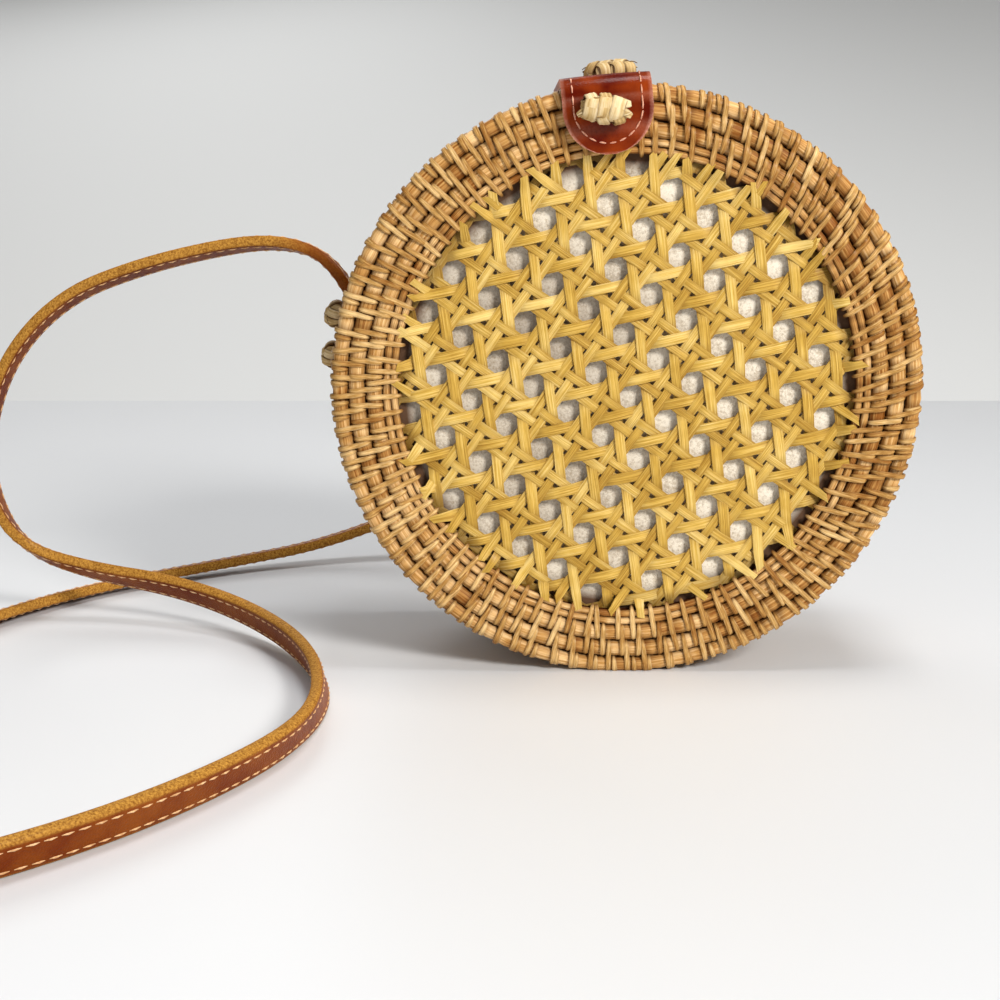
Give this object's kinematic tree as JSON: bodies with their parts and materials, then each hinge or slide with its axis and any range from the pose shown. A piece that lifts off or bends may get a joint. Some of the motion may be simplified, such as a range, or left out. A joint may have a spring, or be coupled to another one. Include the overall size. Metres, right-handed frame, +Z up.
{
  "type": "round rattan shoulder bag",
  "caption": "Round two-part rattan bag with open cane faces, a buttoned leather tab, cane knots, a bottom hinge of cane lashings and a leather shoulder strap.",
  "frame": {"origin": "on the floor, below the middle of the bag with its front knot and without its free strap", "axes": "+Z up, the bag standing on its rim; the front face with the buttoned tab looks along -Y; +X to the right as seen from the front"},
  "size_m": [0.3784, 0.3633, 0.212],
  "materials": {
    "woven_rattan": "satin lacquered rattan",
    "cane_webbing": "glossy split cane",
    "twisted_cane": "matt twisted cane",
    "lining_cloth": "plain woven cloth",
    "tab_leather": "glossy leather",
    "strap_leather": "satin leather with stitched edges"
  },
  "bodies": {
    "back_half": {"back_face_ring": "woven_rattan", "back_side_band": "woven_rattan", "back_cane_panel": "cane_webbing", "back_inner_hoop": "woven_rattan", "back_lining_disc": "lining_cloth", "back_lining_wall": "lining_cloth", "tab_anchor_knot": "twisted_cane", "hinge_lashings": "twisted_cane", "left_strap_end": "strap_leather", "left_strap_knots": "twisted_cane", "right_strap_end": "strap_leather", "right_strap_knots": "twisted_cane", "shoulder_strap": "strap_leather"},
    "front_half": {"front_face_ring": "woven_rattan", "front_side_band": "woven_rattan", "front_cane_panel": "cane_webbing", "front_inner_hoop": "woven_rattan", "front_lining_disc": "lining_cloth", "front_lining_wall": "lining_cloth", "closure_knot": "twisted_cane"},
    "tab_flap": {"closure_tab": "tab_leather"}
  },
  "joints": [
    {"name": "bag_open", "type": "hinge", "parent": "back_half", "child": "front_half", "pos_m": [0.00872, 0.006, -0.00012], "axis": [0.9962, 0, 0.0872], "range_deg": [0, 45], "deforming": ["hinge_lashings"]},
    {"name": "tab_lift", "type": "hinge", "parent": "back_half", "child": "tab_flap", "pos_m": [-0.00889, 0.014, 0.20111], "axis": [-0.9962, 0, -0.0872], "range_deg": [0, 100], "deforming": ["closure_tab"]}
  ]
}
